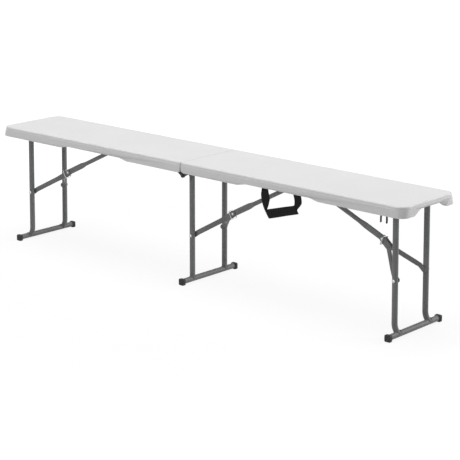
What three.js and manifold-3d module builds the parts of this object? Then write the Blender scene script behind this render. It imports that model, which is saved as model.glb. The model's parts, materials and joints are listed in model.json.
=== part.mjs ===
import * as THREE from 'three';
import { mergeVertices } from 'three/addons/utils/BufferGeometryUtils.js';
import Module from 'manifold-3d';

// A bench that folds in half: two moulded seat halves on steel rails, hinged at the middle, with
// three folding leg frames and their knee braces. Lengths are in millimetres and angles in degrees.
// +X runs along the bench, -Y is the side with the carry strap and +Z is up. The origin is on the
// floor under the middle of the fold.

const wasm = await Module();
wasm.setup();

const bench = new THREE.Group();
bench.name = 'folding_bench';

// Fits that many pieces share
const seatedGap = 0.3;
const pinClearance = 0.3;
const cutOverrun = 6;

// Whole bench
const benchLength = 1830;
const benchWidth = 286;
const seatHeight = 430;

// Moulded seat halves
const apronDepth = 35;
const panelThickness = 13;
const skirtThickness = 12;
const foldGap = 1.6;
const endCornerRadius = 38;
const skirtCornerRadius = 31;
const foldCornerRadius = 3;
const bandHeight = 9;
const skirtDraft = 1.5;
const ledgeWidth = 1.5;
const ledgeDrop = 0.6;
const topEdgeRadius = 4.5;
const skirtEdgeRadius = 2;
const sideArchDepth = 27;
const sideArchStartShare = 0.2765;
const sideArchEndShare = 0.648;
const sideArchRun = 38;
const sideArchRadius = 60;
const endArchDepth = 16.5;
const endArchWidth = 170;
const endArchRun = 34;
const endArchRadius = 20;
const leftFoldRounding = 10;
const rightFoldRounding = 19;
const grooveWidth = 34;
const grooveDepth = 2;
const grooveStart = 45;
const grooveEndInset = 50;
const grooveRadius = 14;

// Steel rails under each half
const railWidth = 12;
const railHeight = 14.5;
const railStart = 13;
const railEndInset = 31;
const lugLength = 28;
const lugDepth = 14;

// Middle hinge
const hingeDrop = 10;
const rodRadius = 4;
const rodHeadRadius = 6;
const rodHeadThickness = 2.4;
const plateThickness = 3;
const plateLength = 80;
const plateEarRadius = 9;
const plateNeckLength = 44;
const plateLap = 3;
const plateRise = 27;
const plateCornerRadius = 3;

// Leg frames
const tubeRadius = 9.5;
const uprightInset = 61;
const legTopClearance = 4.5;
const leftLegInset = 97;
const rightLegInset = 70;
const endLegLean = 1.2;
const endFootOffset = 14.5;
const endBendHeight = 33;
const crossTubeClearance = 1.1;
const footEndInset = 3;
const capHeight = 25;
const capLength = 12;
const capEndWall = 4.7;
const capCornerRadius = 6;
const capEdgeRadius = 2.5;

// Knee braces
const endBraceDrop = 222;
const middleBraceDrop = 219;
const leftRodShare = 0.4493;
const middleRodShare = 0.4514;
const braceRodSpacing = 27.3;
const leftKneeSlack = 1.1;
const middleKneeSlack = 0.75;
const rightKneeSlack = 5.1;
const braceRodDrop = 10;
const braceTubeRadius = 7.5;
const bracePressedHeight = 21;
const bracePressedThickness = 8;
const bracePressedLength = 74;
const braceTaperLength = 32;
const braceSleeveRadius = 8;
const braceSleeveLength = 26;
const armEndThickness = 3.5;
const armMiddleThickness = 8;
const armMiddleHeight = 17;
const armStraightLength = 34;
const armEndLength = 20;
const rivetRadius = 3;
const rivetHeadRadius = 6;
const rivetHeadHeight = 2.8;
const kneeHeadRadius = 5.5;

// Lock rings
const leftRingOffset = 6;
const middleRingOffset = 6;
const rightRingOffset = 4;
const ringSlip = 0.1;
const ringWireRadius = 1.6;
const ringInnerHeight = 26;
const ringInnerWidth = 24.5;
const ringCornerRadius = 5;

// Spring clip that holds the left leg frame when the bench is shut
const clipInset = 37;
const clipWidth = 8;
const clipThickness = 1.5;
const clipGrip = 10.7;
const clipLipDrop = 4;
const clipLipFlare = 1.2;
const clipShoulder = 8;

// Carry strap and its two anchor plates
const strapInset = 14.5;
const strapThickness = 1.6;
const strapWidth = 29;
const strapFrom = 346;
const strapSpan = 162;
const strapLeftDrop = 95;
const strapRightDrop = 61;
const anchorLength = 36;
const anchorThickness = 2;
const strapHangGap = 0.5;

// Numbers of sides and steps
const tubeSides = 24;
const pinSides = 16;
const armSides = 12;
const wireSides = 6;
const arcSteps = 6;
const endSteps = 3;
const edgeSteps = 3;

// Places that follow from the sizes above
const halfLength = benchLength / 2;
const halfWidth = benchWidth / 2;
const panelUnderside = seatHeight - panelThickness;
const apronBottom = seatHeight - apronDepth;
const hingeHeight = apronBottom - hingeDrop;
const endPivotHeight = panelUnderside - legTopClearance - tubeRadius;
const braceRodHeight = panelUnderside - braceRodDrop;
const railTop = panelUnderside - seatedGap;
const railMiddle = railTop - railHeight / 2;
const railEnd = halfLength - railEndInset;
const skirtInside = halfWidth - skirtThickness;
const rightPlateOutside = skirtInside - seatedGap;
const rightRailOutside = rightPlateOutside - plateThickness - seatedGap;
const leftPlateOutside = rightRailOutside;
const leftRailOutside = leftPlateOutside - plateThickness - seatedGap;
const leftLegX = leftLegInset - halfLength;
const rightLegX = halfLength - rightLegInset;
const leftBraceRodX = -leftRodShare * halfLength;
const middleBraceRodX = middleRodShare * halfLength;
const rightBraceRodX = middleBraceRodX + braceRodSpacing;
const legSpread = halfWidth - uprightInset;
const middleCrossTubeReach = legSpread + tubeRadius;
const endCrossTubeReach = leftRailOutside - railWidth - crossTubeClearance;
const footReach = halfWidth - footEndInset;
const capHalf = capHeight / 2;
const clipY = clipInset - halfWidth;
const pinHoleRadius = rodRadius + pinClearance;
const rivetHoleRadius = rivetRadius + pinClearance;
const lean = THREE.MathUtils.degToRad(endLegLean);

// Finishes
const plastic = new THREE.MeshStandardMaterial({ color: 0xe8e8e6, roughness: 0.55 });
const paintedSteel = new THREE.MeshStandardMaterial({ color: 0x6b6e70, roughness: 0.45, metalness: 0.3 });
const darkSteel = new THREE.MeshStandardMaterial({ color: 0x3c3e40, roughness: 0.5, metalness: 0.4 });
const zinc = new THREE.MeshStandardMaterial({ color: 0xc4c6c8, roughness: 0.3, metalness: 0.9 });
const rubber = new THREE.MeshStandardMaterial({ color: 0x26272a, roughness: 0.8 });
const webbing = new THREE.MeshStandardMaterial({ color: 0x1e1e20, roughness: 0.95 });

// Turns a closed three.js geometry into a solid that can be joined and cut
function solid(geometry) {
  const bare = geometry.clone();
  bare.deleteAttribute('normal');
  bare.deleteAttribute('uv');
  const merged = mergeVertices(bare);
  const mesh = new wasm.Mesh({
    numProp: 3,
    vertProperties: new Float32Array(merged.attributes.position.array),
    triVerts: new Uint32Array(merged.index.array),
  });
  return new wasm.Manifold(mesh);
}

function addNode(name, body, material) {
  const { vertProperties, triVerts } = body.getMesh();
  const indexed = new THREE.BufferGeometry();
  indexed.setAttribute('position', new THREE.BufferAttribute(new Float32Array(vertProperties), 3));
  indexed.setIndex(new THREE.BufferAttribute(new Uint32Array(triVerts), 1));
  const geometry = indexed.toNonIndexed();
  geometry.computeVertexNormals();
  const mesh = new THREE.Mesh(geometry, material);
  mesh.name = name;
  bench.add(mesh);
}

// A closed outline through corners given as [x, y, radius], with true arcs at the radii
function outline(corners) {
  const points = [];
  corners.forEach(([x, y, radius = 0], i) => {
    const corner = new THREE.Vector2(x, y);
    if (radius === 0) {
      points.push(corner);
      return;
    }
    const [beforeX, beforeY] = corners.at(i - 1);
    const [afterX, afterY] = corners[(i + 1) % corners.length];
    const back = new THREE.Vector2(beforeX, beforeY).sub(corner).normalize();
    const ahead = new THREE.Vector2(afterX, afterY).sub(corner).normalize();
    const half = Math.acos(THREE.MathUtils.clamp(back.dot(ahead), -1, 1)) / 2;
    const middle = back.clone().add(ahead).normalize();
    const centre = corner.clone().addScaledVector(middle, radius / Math.sin(half));
    const start = corner.clone().addScaledVector(back, radius / Math.tan(half)).sub(centre);
    const turn = Math.sign(back.cross(ahead)) * (Math.PI - 2 * half);
    for (let step = 0; step <= arcSteps; step += 1) {
      const spoke = start.clone().rotateAround(new THREE.Vector2(), (-turn * step) / arcSteps);
      points.push(spoke.add(centre));
    }
  });
  return new THREE.Shape(points);
}

// How an outline is drawn out to a whole depth, with rounded edges where edge is not zero
function roundedDepth(depth, edge) {
  return {
    depth: depth - 2 * edge,
    bevelEnabled: edge > 0,
    bevelSize: edge,
    bevelThickness: edge,
    bevelOffset: -edge,
    bevelSegments: edgeSteps,
  };
}

// An outline in X and Y, standing from one height to another
function slabUp(shape, from, to) {
  const geometry = new THREE.ExtrudeGeometry(shape, roundedDepth(to - from, 0));
  return solid(geometry.translate(0, 0, from));
}

// An outline in X and Z, reaching across the bench from one Y to another
function slabAcross(shape, from, to, edge = 0) {
  const geometry = new THREE.ExtrudeGeometry(shape, roundedDepth(to - from, edge));
  return solid(geometry.rotateX(Math.PI / 2).translate(0, to - edge, 0));
}

// An outline in Y and Z, reaching along the bench from one X to another
function slabAlong(shape, from, to) {
  const geometry = new THREE.ExtrudeGeometry(shape, roundedDepth(to - from, 0));
  const turn = new THREE.Matrix4().makeBasis(
    new THREE.Vector3(0, 1, 0),
    new THREE.Vector3(0, 0, 1),
    new THREE.Vector3(1, 0, 0),
  );
  return solid(geometry.applyMatrix4(turn).translate(from, 0, 0));
}

// A solid through level outlines of like corners, each given with its height from the bottom up
function stack(layers) {
  const rings = layers.map(({ corners, height }) => {
    const ring = outline(corners).getPoints().slice(0, corners.length * (arcSteps + 1));
    if (THREE.ShapeUtils.isClockWise(ring)) {
      ring.reverse();
    }
    return ring.map(({ x, y }) => new THREE.Vector3(x, y, height));
  });
  const count = rings[0].length;
  const index = [];
  for (let ring = 0; ring < rings.length - 1; ring += 1) {
    for (let side = 0; side < count; side += 1) {
      const here = ring * count + side;
      const beside = ring * count + ((side + 1) % count);
      index.push(here, beside, beside + count);
      index.push(here, beside + count, here + count);
    }
  }
  const topRing = (rings.length - 1) * count;
  for (const [a, b, c] of THREE.ShapeUtils.triangulateShape(rings[0], [])) {
    index.push(a, c, b);
    index.push(topRing + a, topRing + b, topRing + c);
  }
  const geometry = new THREE.BufferGeometry().setFromPoints(rings.flat());
  geometry.setIndex(index);
  return solid(geometry);
}

// A round bar across the bench
function barAcross(radius, x, z, from, to, sides = pinSides) {
  const geometry = new THREE.CylinderGeometry(radius, radius, to - from, sides);
  return solid(geometry.translate(x, (from + to) / 2, z));
}

function block(fromX, toX, fromY, toY, fromZ, toZ) {
  const geometry = new THREE.BoxGeometry(toX - fromX, toY - fromY, toZ - fromZ);
  return solid(geometry.translate((fromX + toX) / 2, (fromY + toY) / 2, (fromZ + toZ) / 2));
}

// A turned piece whose axis runs across the bench; its profile is a list of [radius, distance]
function turnedAcross(profile, x, y, z, outward) {
  const points = profile.map(([radius, distance]) => new THREE.Vector2(radius, distance));
  const geometry = new THREE.LatheGeometry(points, pinSides);
  if (outward < 0) {
    geometry.rotateX(Math.PI);
  }
  return solid(geometry.translate(x, y, z));
}

// The ring of points of one section: round, or pressed flat where it is taller than thick
function sectionPoints(station, sides) {
  const { at, ahead, across, tall, thick } = station;
  const up = ahead.clone().cross(across);
  const round = Math.min(tall, thick) / 2;
  const flat = Math.max(tall - thick, 0) / 2;
  const points = [];
  for (let side = 0; side < sides; side += 1) {
    const angle = ((side + 0.5) * 2 * Math.PI) / sides;
    const lift = round * Math.sin(angle) + Math.sign(Math.sin(angle)) * flat;
    const shift = (Math.cos(angle) * thick) / 2;
    points.push(at.clone().addScaledVector(across, shift).addScaledVector(up, lift));
  }
  return points;
}

// A bar swept through its stations; a closed one joins its last station to its first
function sweep(stations, sides, closed = false) {
  const rings = stations.map((station) => sectionPoints(station, sides));
  const points = rings.flat();
  const index = [];
  const count = rings.length;
  const joints = closed ? count : count - 1;
  for (let ring = 0; ring < joints; ring += 1) {
    const here = ring * sides;
    const next = ((ring + 1) % count) * sides;
    for (let side = 0; side < sides; side += 1) {
      const other = (side + 1) % sides;
      index.push(here + side, here + other, next + other);
      index.push(here + side, next + other, next + side);
    }
  }
  if (!closed) {
    const first = points.push(stations[0].at) - 1;
    const last = points.push(stations[count - 1].at) - 1;
    const end = (count - 1) * sides;
    for (let side = 0; side < sides; side += 1) {
      const other = (side + 1) % sides;
      index.push(first, other, side);
      index.push(last, end + side, end + other);
    }
  }
  const geometry = new THREE.BufferGeometry().setFromPoints(points);
  geometry.setIndex(index);
  return solid(geometry);
}

// Both sides of the bench: near is -Y, far is +Y
const sides = [
  { label: 'near', sign: -1 },
  { label: 'far', sign: 1 },
];

// The outside of a seat half, from its lower edge up: a skirt that leans in to a ledge, then a band
// with a rounded top edge. Each level has its inset, its corner radius and its height.
function seatLevels() {
  const bandBottom = seatHeight - bandHeight;
  const bandInset = skirtDraft + ledgeWidth;
  const levels = [];
  for (let step = 0; step <= edgeSteps; step += 1) {
    const angle = (Math.PI / 2) * (step / edgeSteps);
    const inset = skirtEdgeRadius * (1 - Math.sin(angle));
    const height = apronBottom + skirtEdgeRadius * (1 - Math.cos(angle));
    levels.push({ inset, radius: skirtCornerRadius - inset, height });
  }
  levels.push({ inset: skirtDraft, radius: endCornerRadius - skirtDraft, height: bandBottom - ledgeDrop });
  levels.push({ inset: skirtDraft + ledgeDrop, radius: endCornerRadius - skirtDraft, height: bandBottom });
  levels.push({ inset: bandInset, radius: endCornerRadius - bandInset, height: bandBottom + ledgeDrop });
  for (let step = 0; step <= edgeSteps; step += 1) {
    const angle = (Math.PI / 2) * (step / edgeSteps);
    const inset = bandInset + topEdgeRadius * (1 - Math.cos(angle));
    const height = seatHeight - topEdgeRadius * (1 - Math.sin(angle));
    levels.push({ inset, radius: endCornerRadius - inset, height });
  }
  return levels;
}

// One moulded seat half; toward is +1 on the right and -1 on the left
function seatHalf(toward, foldRounding) {
  const inner = toward * (foldGap / 2);
  const layers = seatLevels().map(({ inset, radius, height }) => {
    const end = toward * (halfLength - inset);
    const wide = halfWidth - inset;
    const corners = [
      [inner, -wide, foldCornerRadius],
      [end, -wide, radius],
      [end, wide, radius],
      [inner, wide, foldCornerRadius],
    ];
    return { corners, height };
  });

  const cavityCorner = endCornerRadius - skirtThickness;
  const cavityEnd = toward * (halfLength - skirtThickness);
  const cavity = slabUp(
    outline([
      [-toward * cutOverrun, -skirtInside],
      [cavityEnd, -skirtInside, cavityCorner],
      [cavityEnd, skirtInside, cavityCorner],
      [-toward * cutOverrun, skirtInside],
    ]),
    apronBottom - cutOverrun,
    panelUnderside,
  );
  const grooveEnd = toward * (halfLength - grooveEndInset);
  const groove = slabUp(
    outline([
      [toward * grooveStart, -grooveWidth / 2, grooveRadius],
      [grooveEnd, -grooveWidth / 2, grooveRadius],
      [grooveEnd, grooveWidth / 2, grooveRadius],
      [toward * grooveStart, grooveWidth / 2, grooveRadius],
    ]),
    panelUnderside - cutOverrun,
    panelUnderside + grooveDepth,
  );

  const sideArchTop = seatHeight - sideArchDepth;
  const archStart = sideArchStartShare * halfLength;
  const archEnd = sideArchEndShare * halfLength;
  const sideArch = slabAcross(
    outline([
      [toward * (archStart - sideArchRun), apronBottom - cutOverrun],
      [toward * (archStart - sideArchRun), apronBottom],
      [toward * archStart, apronBottom, sideArchRadius],
      [toward * (archStart + sideArchRun), sideArchTop, sideArchRadius],
      [toward * (archEnd - sideArchRun), sideArchTop, sideArchRadius],
      [toward * archEnd, apronBottom, sideArchRadius],
      [toward * (archEnd + sideArchRun), apronBottom],
      [toward * (archEnd + sideArchRun), apronBottom - cutOverrun],
    ]),
    -halfWidth - cutOverrun,
    halfWidth + cutOverrun,
  );
  const archHalf = endArchWidth / 2;
  const endArchTop = seatHeight - endArchDepth;
  const archEnds = [cavityEnd - toward * seatedGap, toward * (halfLength + cutOverrun)];
  const endArch = slabAlong(
    outline([
      [-archHalf - endArchRun, apronBottom - cutOverrun],
      [-archHalf - endArchRun, apronBottom],
      [-archHalf, apronBottom, endArchRadius],
      [-archHalf + endArchRun, endArchTop, endArchRadius],
      [archHalf - endArchRun, endArchTop, endArchRadius],
      [archHalf, apronBottom, endArchRadius],
      [archHalf + endArchRun, apronBottom],
      [archHalf + endArchRun, apronBottom - cutOverrun],
    ]),
    Math.min(...archEnds),
    Math.max(...archEnds),
  );

  // The lower corner at the fold is cut off square and gets its round back from a bar
  const roundingX = inner + toward * foldRounding;
  const roundingXs = [inner - toward * cutOverrun, roundingX];
  const roundingTop = apronBottom + foldRounding;
  const cutWidth = halfWidth + cutOverrun;
  const corner = block(
    Math.min(...roundingXs),
    Math.max(...roundingXs),
    -cutWidth,
    cutWidth,
    apronBottom - cutOverrun,
    roundingTop,
  );
  const rounding = corner.subtract(
    barAcross(foldRounding, roundingX, roundingTop, -cutWidth, cutWidth, tubeSides),
  );
  return stack(layers)
    .subtract(cavity)
    .subtract(groove)
    .subtract(sideArch)
    .subtract(endArch)
    .subtract(rounding);
}

// A rail with a lug for its leg pivot rod and plain holes for its brace rods
function rail(toward, sign, outside, legX, braceRodXs) {
  const ends = [toward * railStart, toward * railEnd];
  const faces = [sign * outside, sign * (outside - railWidth)];
  const low = Math.min(...faces);
  const high = Math.max(...faces);
  let body = block(Math.min(...ends), Math.max(...ends), low, high, railTop - railHeight, railTop);
  const lugBottom = endPivotHeight - lugDepth / 2;
  body = body.add(
    block(legX - lugLength / 2, legX + lugLength / 2, low, high, lugBottom, railMiddle),
  );
  const hole = (x, z) => barAcross(pinHoleRadius, x, z, low - cutOverrun, high + cutOverrun);
  body = body.subtract(hole(legX, endPivotHeight));
  for (const x of braceRodXs) {
    body = body.subtract(hole(x, braceRodHeight));
  }
  return body;
}

// A hinge plate lies against its rail and drops to the hinge rod at its ear
function hingePlate(toward, sign, outside) {
  const faces = [sign * outside, sign * (outside - plateThickness)];
  const low = Math.min(...faces);
  const high = Math.max(...faces);
  const plateBottom = railTop - railHeight;
  const web = slabAcross(
    outline([
      [toward * railStart, railTop, plateCornerRadius],
      [-toward * plateLap, hingeHeight + plateRise],
      [-toward * (plateEarRadius - plateThickness), hingeHeight + plateEarRadius / 2],
      [0, hingeHeight - plateEarRadius + plateThickness / 2],
      [toward * plateThickness, hingeHeight - plateEarRadius + plateThickness / 2],
      [toward * plateNeckLength, plateBottom],
      [toward * plateLength, plateBottom, plateCornerRadius],
      [toward * plateLength, railTop, plateCornerRadius],
    ]),
    low,
    high,
  );
  const ear = barAcross(plateEarRadius, 0, hingeHeight, low, high, tubeSides);
  const hole = barAcross(pinHoleRadius, 0, hingeHeight, low - cutOverrun, high + cutOverrun);
  return web.add(ear).subtract(hole);
}

function underframe(label, toward, railOutside, plateOutside, legX, braceRodXs) {
  for (const { label: side, sign } of sides) {
    const railBody = rail(toward, sign, railOutside, legX, braceRodXs);
    addNode(`${label}_rail_${side}`, railBody, paintedSteel);
    addNode(`${label}_hinge_plate_${side}`, hingePlate(toward, sign, plateOutside), darkSteel);
  }
}

// A rod with a low round head at each end
function headedRod(x, z, reach) {
  const rod = barAcross(rodRadius, x, z, -reach - rodHeadThickness, reach + rodHeadThickness);
  const heads = sides.map(({ sign }) => {
    const ends = [sign * reach, sign * (reach + rodHeadThickness)];
    return barAcross(rodHeadRadius, x, z, Math.min(...ends), Math.max(...ends));
  });
  return rod.add(heads[0]).add(heads[1]);
}

// Where the pieces of one leg frame and its knee brace lie. Its brace runs toward +X where brace is
// +1. The brace opens all but straight, with some slack at the knee, and its two lengths differ by
// the span that is left when the leg lies flat, so that it folds flat with the leg.
function legFrame(sizes) {
  const { brace, pivotX, pivotZ, leanAngle, footOffset, drop, rodX, slack } = sizes;
  const down = new THREE.Vector3(-brace * Math.sin(leanAngle), 0, -Math.cos(leanAngle));
  const out = new THREE.Vector3(-brace * Math.cos(leanAngle), 0, Math.sin(leanAngle));
  const pivot = new THREE.Vector3(pivotX, 0, pivotZ);
  const fall = (pivotZ - capHalf + footOffset * Math.sin(leanAngle)) / Math.cos(leanAngle);
  const foot = pivot.clone().addScaledVector(down, fall).addScaledVector(out, footOffset);

  const armPivot = pivot.clone().addScaledVector(down, drop);
  const braceRod = new THREE.Vector3(rodX, 0, braceRodHeight);
  const foldedPivot = new THREE.Vector3(pivotX + brace * drop, 0, pivotZ);
  const foldedSpan = braceRod.distanceTo(foldedPivot);
  const openSpan = braceRod.distanceTo(armPivot);
  const upperLength = (openSpan + slack + foldedSpan) / 2;
  const armLength = (openSpan + slack - foldedSpan) / 2;
  const along = (openSpan ** 2 + armLength ** 2 - upperLength ** 2) / (2 * openSpan);
  const aside = Math.sqrt(armLength ** 2 - along ** 2);
  const direction = braceRod.clone().sub(armPivot).normalize();
  const upward = new THREE.Vector3(-brace * direction.z, 0, brace * direction.x);
  const knee = armPivot.clone().addScaledVector(direction, along).addScaledVector(upward, aside);
  return { ...sizes, pivot, down, out, fall, foot, armPivot, braceRod, knee, upperLength, armLength };
}

// An upright runs straight down from the cross tube; on the end frames it bends out to the foot
function upright(frame, y) {
  const across = new THREE.Vector3(0, 1, 0);
  const round = 2 * tubeRadius;
  const place = (distance, offset) =>
    frame.pivot
      .clone()
      .addScaledVector(frame.down, distance)
      .addScaledVector(frame.out, offset)
      .setY(y);
  const station = (at, ahead) => ({ at, ahead, across, tall: round, thick: round });
  const stations = [station(place(0, 0), frame.down)];
  if (frame.footOffset === 0) {
    stations.push(station(place(frame.fall, 0), frame.down));
  } else {
    const turn = 2 * Math.atan(frame.footOffset / endBendHeight);
    const radius = endBendHeight / Math.sin(turn);
    for (let step = 0; step <= arcSteps; step += 1) {
      const angle = (turn * step) / arcSteps;
      const distance = frame.fall - endBendHeight + radius * Math.sin(angle);
      const ahead = frame.down.clone().multiplyScalar(Math.cos(angle));
      ahead.addScaledVector(frame.out, Math.sin(angle));
      stations.push(station(place(distance, radius * (1 - Math.cos(angle))), ahead));
    }
  }
  const reach = tubeRadius + cutOverrun;
  const cope = (x, z) =>
    barAcross(tubeRadius + seatedGap, x, z, y - reach, y + reach, tubeSides);
  const rivetHole = barAcross(
    rivetHoleRadius,
    frame.armPivot.x,
    frame.armPivot.z,
    y - reach,
    y + reach,
  );
  const body = sweep(stations, tubeSides)
    .subtract(cope(frame.pivot.x, frame.pivot.z))
    .subtract(cope(frame.foot.x, frame.foot.z))
    .subtract(rivetHole);
  // The cope leaves a sliver past the far side of each tube, so only the piece between is kept
  return body.decompose().reduce((largest, piece) =>
    piece.volume() > largest.volume() ? piece : largest,
  );
}

// A square cap with rounded corners, closed at its outer end
function footCap(frame, sign) {
  const { x, z } = frame.foot;
  const ends = [sign * (footReach - capLength), sign * footReach];
  const block = slabAcross(
    outline([
      [x - capHalf, z - capHalf, capCornerRadius],
      [x + capHalf, z - capHalf, capCornerRadius],
      [x + capHalf, z + capHalf, capCornerRadius],
      [x - capHalf, z + capHalf, capCornerRadius],
    ]),
    Math.min(...ends),
    Math.max(...ends),
    capEdgeRadius,
  );
  const bore = [sign * (footReach - capLength - cutOverrun), sign * (footReach - capEndWall)];
  const inside = tubeRadius + seatedGap;
  return block.subtract(barAcross(inside, x, z, Math.min(...bore), Math.max(...bore), tubeSides));
}

// The rivet through an upright: its pin ends at the inner side, where the brace arm's end begins
function legRivet(frame, sign) {
  const outside = legSpread + tubeRadius + seatedGap;
  const profile = [
    [0, legSpread - tubeRadius],
    [rivetRadius, legSpread - tubeRadius],
    [rivetRadius, outside],
    [rivetHeadRadius, outside],
    [rivetHeadRadius * Math.cos(Math.PI / 4), outside + rivetHeadHeight * Math.sin(Math.PI / 4)],
    [0, outside + rivetHeadHeight],
  ];
  return turnedAcross(profile, frame.armPivot.x, 0, frame.armPivot.z, sign);
}

function addLegFrame(frame, crossReach) {
  const { label, pivot, foot } = frame;
  const crossTube = barAcross(tubeRadius, pivot.x, pivot.z, -crossReach, crossReach, tubeSides);
  const reach = crossReach + cutOverrun;
  const bore = barAcross(pinHoleRadius, pivot.x, pivot.z, -reach, reach);
  addNode(`${label}_leg_cross_tube`, crossTube.subtract(bore), paintedSteel);
  const tubeEnd = footReach - capEndWall - seatedGap;
  const footTube = barAcross(tubeRadius, foot.x, foot.z, -tubeEnd, tubeEnd, tubeSides);
  addNode(`${label}_foot_tube`, footTube, paintedSteel);
  for (const { label: side, sign } of sides) {
    addNode(`${label}_upright_${side}`, upright(frame, sign * legSpread), paintedSteel);
    addNode(`${label}_foot_cap_${side}`, footCap(frame, sign), rubber);
    addNode(`${label}_leg_rivet_${side}`, legRivet(frame, sign), zinc);
  }
}

// Sections that round off a pressed end, from its tip inward, as shares of half its height
function endShares() {
  const shares = [];
  for (let step = 1; step <= endSteps; step += 1) {
    const angle = (Math.PI / 2) * ((step - 0.5) / (endSteps - 0.5));
    shares.push({ depthShare: 1 - Math.cos(angle), heightShare: Math.sin(angle) });
  }
  return shares;
}

// The upper brace: round tube from its sleeve, pressed flat and tall at the knee
function upperBrace(frame) {
  const { upperLength } = frame;
  const across = new THREE.Vector3(0, 1, 0);
  const ahead = frame.knee.clone().sub(frame.braceRod).normalize();
  const round = 2 * braceTubeRadius;
  const tip = bracePressedHeight / 2;
  const place = (distance, tall, thick) => ({
    at: frame.braceRod.clone().addScaledVector(ahead, distance),
    ahead,
    across,
    tall,
    thick,
  });
  const pressedFrom = upperLength - bracePressedLength;
  const stations = [
    place(0, round, round),
    place(pressedFrom - braceTaperLength, round, round),
    place(pressedFrom, bracePressedHeight, bracePressedThickness),
    place(upperLength, bracePressedHeight, bracePressedThickness),
  ];
  for (const { depthShare, heightShare } of endShares().reverse().slice(1)) {
    const distance = upperLength + tip * (1 - depthShare);
    stations.push(place(distance, bracePressedHeight * heightShare, bracePressedThickness));
  }
  const sleeveEnd = braceSleeveLength / 2;
  const { x, z } = frame.braceRod;
  const reach = sleeveEnd + cutOverrun;
  return sweep(stations, tubeSides)
    .add(barAcross(braceSleeveRadius, x, z, -sleeveEnd, sleeveEnd, tubeSides))
    .subtract(barAcross(pinHoleRadius, x, z, -reach, reach))
    .subtract(barAcross(rivetHoleRadius, frame.knee.x, frame.knee.z, -reach, reach));
}

// A brace arm: flat beside the knee, spreading to the inner side of its upright
function braceArm(frame, sign) {
  const { armLength } = frame;
  const ahead = frame.armPivot.clone().sub(frame.knee).normalize();
  const kneeSide = bracePressedThickness / 2 + seatedGap + armEndThickness / 2;
  const legSide = legSpread - tubeRadius - seatedGap - armEndThickness / 2;
  const tip = bracePressedHeight / 2;
  const place = (distance, side, slope, tall, thick) => {
    const at = frame.knee.clone().addScaledVector(ahead, distance).setY(sign * side);
    const run = ahead.clone().multiplyScalar(Math.cos(slope)).setY(sign * Math.sin(slope));
    const across = ahead.clone().multiplyScalar(-Math.sin(slope)).setY(sign * Math.cos(slope));
    return { at, ahead: run, across: across.multiplyScalar(sign), tall, thick };
  };
  const spreadFrom = armStraightLength;
  const spreadTo = armLength - armEndLength;
  const slope = Math.atan((legSide - kneeSide) / (spreadTo - spreadFrom));
  const stations = [];
  for (const { depthShare, heightShare } of endShares()) {
    const tall = bracePressedHeight * heightShare;
    stations.push(place(tip * (depthShare - 1), kneeSide, 0, tall, armEndThickness));
  }
  stations.push(place(spreadFrom, kneeSide, slope / 2, bracePressedHeight, armEndThickness));
  const middleShares = [0.22, 0.5, 0.78];
  for (const share of middleShares) {
    const distance = spreadFrom + (spreadTo - spreadFrom) * share;
    const side = kneeSide + (legSide - kneeSide) * share;
    stations.push(place(distance, side, slope, armMiddleHeight, armMiddleThickness));
  }
  stations.push(place(spreadTo, legSide, slope / 2, bracePressedHeight, armEndThickness));
  for (const { depthShare, heightShare } of endShares().reverse()) {
    const tall = bracePressedHeight * heightShare;
    const distance = armLength + tip * (1 - depthShare);
    stations.push(place(distance, legSide, 0, tall, armEndThickness));
  }
  const reach = legSpread;
  const kneeHole = barAcross(rivetHoleRadius, frame.knee.x, frame.knee.z, -reach, reach);
  // The inner head of the leg rivet stays on the arm, which is where the linkage is opened
  const head = [
    [0, -legSide],
    [rivetHeadRadius, -legSide],
    [rivetHeadRadius, armEndThickness / 2 - legSide],
    [rivetHeadRadius * Math.cos(Math.PI / 4), armEndThickness - legSide],
    [0, rivetHeadHeight + armEndThickness / 2 - legSide],
  ];
  const innerHead = turnedAcross(head, frame.armPivot.x, 0, frame.armPivot.z, -sign);
  return sweep(stations, armSides).add(innerHead).subtract(kneeHole);
}

function kneeRivet(frame) {
  const outside = bracePressedThickness / 2 + 2 * seatedGap + armEndThickness;
  const ease = Math.cos(Math.PI / 4);
  const profile = [
    [0, -outside - rivetHeadHeight],
    [kneeHeadRadius * ease, -outside - rivetHeadHeight * ease],
    [kneeHeadRadius, -outside],
    [rivetRadius, -outside],
    [rivetRadius, outside],
    [kneeHeadRadius, outside],
    [kneeHeadRadius * ease, outside + rivetHeadHeight * ease],
    [0, outside + rivetHeadHeight],
  ];
  return turnedAcross(profile, frame.knee.x, 0, frame.knee.z, 1);
}

// A loop of wire round the top of the brace arms, just clear of the upper brace that it slides along
function lockRing(frame) {
  const along = frame.knee.clone().sub(frame.braceRod).normalize();
  const over = new THREE.Vector3(-frame.brace * along.z, 0, frame.brace * along.x).negate();
  const halfHeight = ringInnerHeight / 2 + ringWireRadius;
  const halfWidth = ringInnerWidth / 2 + ringWireRadius;
  const sag = ringInnerHeight / 2 - bracePressedHeight / 2 - ringSlip;
  const centre = frame.knee.clone().addScaledVector(along, frame.ringOffset);
  centre.addScaledVector(over, -sag);
  const loop = outline([
    [-halfWidth, -halfHeight, ringCornerRadius],
    [halfWidth, -halfHeight, ringCornerRadius],
    [halfWidth, halfHeight, ringCornerRadius],
    [-halfWidth, halfHeight, ringCornerRadius],
  ]).getPoints();
  const wire = 2 * ringWireRadius;
  const inPlane = ({ x, y }) => over.clone().multiplyScalar(y).setY(x);
  const loopPoints = loop.slice(0, 4 * (arcSteps + 1));
  const stations = loopPoints.map((point, i) => {
    const before = loopPoints.at(i - 1);
    const after = loopPoints[(i + 1) % loopPoints.length];
    const ahead = inPlane(after.clone().sub(before)).normalize();
    const at = centre.clone().add(inPlane(point));
    return { at, ahead, across: along, tall: wire, thick: wire };
  });
  return sweep(stations, wireSides, true);
}

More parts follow.
